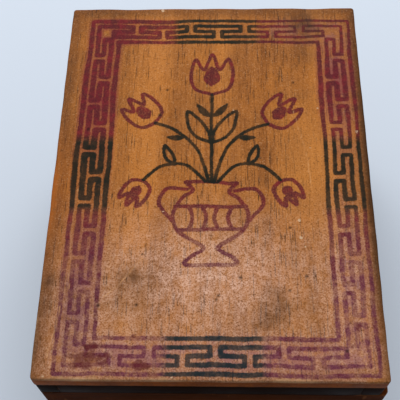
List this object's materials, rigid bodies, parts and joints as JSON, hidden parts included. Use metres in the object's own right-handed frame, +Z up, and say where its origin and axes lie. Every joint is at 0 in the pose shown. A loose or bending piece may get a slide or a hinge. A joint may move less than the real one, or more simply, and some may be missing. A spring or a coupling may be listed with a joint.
{
  "type": "jack in the box",
  "caption": "Small hinged wooden toy box with a printed key-pattern border on its lid; a cloth-bodied jester on a coil spring rises out of it as the lid swings open.",
  "frame": {"origin": "middle of the underside of the floor board", "axes": "+X to the right seen from the front, +Y from the front to the hinged back, +Z up"},
  "size_m": [0.0772, 0.1024, 0.0642],
  "materials": {
    "lid_varnish": "worn amber varnish with a printed border",
    "rim_varnish": "dark varnish",
    "box_varnish": "brown varnish",
    "bare_wood": "bare",
    "painted_wood": "satin paint",
    "nose_paint": "gloss paint",
    "brass": "aged",
    "steel": "dull",
    "sleeve_cloth": "woven cotton",
    "trim_cloth": "woven tape",
    "hat_felt": "felt",
    "hand_felt": "felt"
  },
  "bodies": {
    "box": {"floor_board": "bare_wood", "front_wall": "box_varnish", "back_wall": "box_varnish", "left_wall": "box_varnish", "right_wall": "box_varnish", "wall_brads": "steel", "floor_brads": "steel", "hinge_lower_leaf_left": "brass", "hinge_lower_leaf_right": "brass", "hinge_pin_left": "brass", "hinge_pin_right": "brass", "hinge_lower_nails": "brass", "base_disc": "bare_wood", "base_disc_screw": "steel", "base_staples": "steel", "pop_spring": "steel", "jack_sleeve": "sleeve_cloth", "lower_binding": "trim_cloth", "catch_packing": "bare_wood", "catch_screws": "brass"},
    "lid": {"lid_board": "lid_varnish", "lid_front_rim": "rim_varnish", "lid_back_rim": "rim_varnish", "lid_left_rim": "rim_varnish", "lid_right_rim": "rim_varnish", "hinge_upper_leaf_left": "brass", "hinge_upper_leaf_right": "brass", "hinge_upper_nails": "brass", "catch_strike": "brass", "strike_nails": "brass"},
    "jack": {"cap_disc": "bare_wood", "cap_staples": "steel", "upper_binding": "trim_cloth", "neck_peg": "bare_wood", "jack_head": "painted_wood", "jack_nose": "nose_paint", "jack_ruff": "trim_cloth", "hat_crown": "hat_felt", "hat_point_left": "hat_felt", "hat_point_right": "hat_felt", "hat_bells": "brass", "left_arm": "sleeve_cloth", "right_arm": "sleeve_cloth", "left_hand": "hand_felt", "right_hand": "hand_felt"},
    "catch": {"catch_leaf": "brass"}
  },
  "joints": [
    {"name": "lid_hinge", "type": "hinge", "parent": "box", "child": "lid", "pos_m": [0, 0.0497, 0.0541], "axis": [-1, 0, 0], "range_deg": [0, 103]},
    {"name": "jack_rise", "type": "slide", "parent": "box", "child": "jack", "axis": [0, 0, 1], "range_m": [0, 0.0612], "deforming": ["pop_spring", "jack_sleeve"]},
    {"name": "catch_flex", "type": "hinge", "parent": "box", "child": "catch", "pos_m": [0, -0.04505, 0.028], "axis": [-1, 0, 0], "range_deg": [0, 4], "stiffness_Nm_per_rad": 0.2, "deforming": ["catch_leaf"]}
  ],
  "couplings": [
    {"joint": "jack_rise", "follows": "lid_hinge", "m_per_rad": 0.034}
  ]
}
